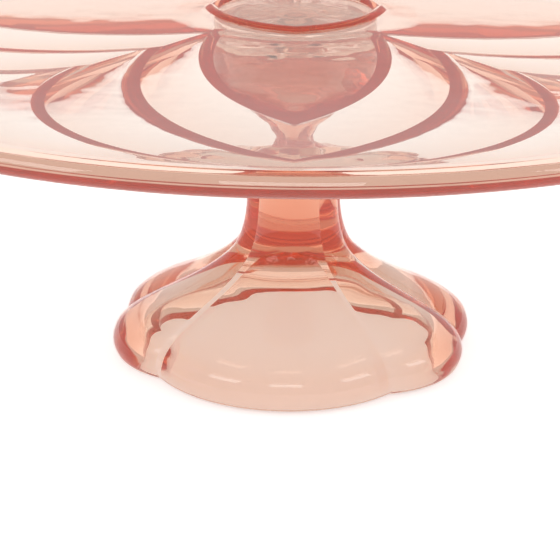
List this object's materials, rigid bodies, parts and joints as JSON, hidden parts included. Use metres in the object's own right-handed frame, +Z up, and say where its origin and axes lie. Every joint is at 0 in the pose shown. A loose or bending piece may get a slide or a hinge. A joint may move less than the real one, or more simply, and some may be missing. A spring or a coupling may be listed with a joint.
{
  "type": "cake turntable",
  "caption": "Round pressed-glass cake turntable: leaf-patterned plate turning on a petal-footed glass pedestal.",
  "frame": {"origin": "on the table, under the middle of the foot", "axes": "+Z up along the turning axis; +X and +Y through two corners of the plate's middle ring; the foot's front petal faces -Y, turned 8 degrees towards -X"},
  "size_m": [0.3, 0.3, 0.0996],
  "materials": {
    "pink_plate_glass": "gloss",
    "pink_foot_glass": "gloss",
    "clear_race": "gloss",
    "clear_cage": "satin",
    "ball_glass": "gloss",
    "clear_pin": "gloss",
    "clear_adhesive": "satin"
  },
  "bodies": {
    "base": {"pedestal": "pink_foot_glass", "lower_bond_disc": "clear_adhesive", "lower_race": "clear_race", "centre_pin": "clear_pin", "retaining_ring": "clear_pin"},
    "turntable": {"plate": "pink_plate_glass", "upper_bond_disc": "clear_adhesive", "upper_race": "clear_race"},
    "cage": {"ball_cage": "clear_cage", "bearing_balls": "ball_glass"}
  },
  "joints": [
    {"name": "plate_spin", "type": "hinge", "parent": "base", "child": "turntable", "pos_m": [0, 0, 0.0876], "axis": [0, 0, 1], "continuous": true},
    {"name": "cage_spin", "type": "hinge", "parent": "base", "child": "cage", "pos_m": [0, 0, 0.0876], "axis": [0, 0, 1], "continuous": true}
  ],
  "couplings": [
    {"joint": "cage_spin", "follows": "plate_spin", "ratio": 0.5}
  ]
}
